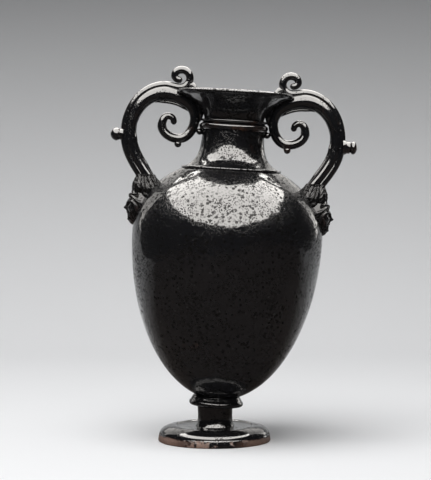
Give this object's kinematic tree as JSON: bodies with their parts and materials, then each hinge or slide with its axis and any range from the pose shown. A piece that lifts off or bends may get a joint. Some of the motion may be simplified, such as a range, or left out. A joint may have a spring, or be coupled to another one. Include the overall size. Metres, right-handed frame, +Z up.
{
  "type": "two-handled vase",
  "caption": "Black glazed earthenware vase with a spreading foot, a flared mouth and scrolled handles over masks.",
  "frame": {"origin": "middle of the foot's underside", "axes": "+Z up, the two handles stand along X, and the upper part leans to +X"},
  "size_m": [0.2339, 0.1806, 0.3557],
  "materials": {
    "black_glaze": "glossy",
    "worn_glaze": "glossy, thin and brownish on high places",
    "banded_clay": "black glaze with the pinkish clay bare along the foot's edge"
  },
  "bodies": {
    "root": {"foot_disc": "banded_clay", "stem": "black_glaze", "stem_collar": "black_glaze", "body": "black_glaze", "neck": "black_glaze", "neck_ring": "worn_glaze", "mouth": "black_glaze", "left_scroll": "black_glaze", "left_back_coil": "black_glaze", "left_knob": "worn_glaze", "left_volute_bud": "worn_glaze", "left_neck_pad": "worn_glaze", "left_rim_tongue": "black_glaze", "left_leaf_crown": "black_glaze", "left_mask": "black_glaze", "right_scroll": "black_glaze", "right_back_coil": "black_glaze", "right_knob": "worn_glaze", "right_volute_bud": "worn_glaze", "right_neck_pad": "worn_glaze", "right_rim_tongue": "black_glaze", "right_leaf_crown": "black_glaze", "right_mask": "black_glaze"}
  },
  "joints": []
}
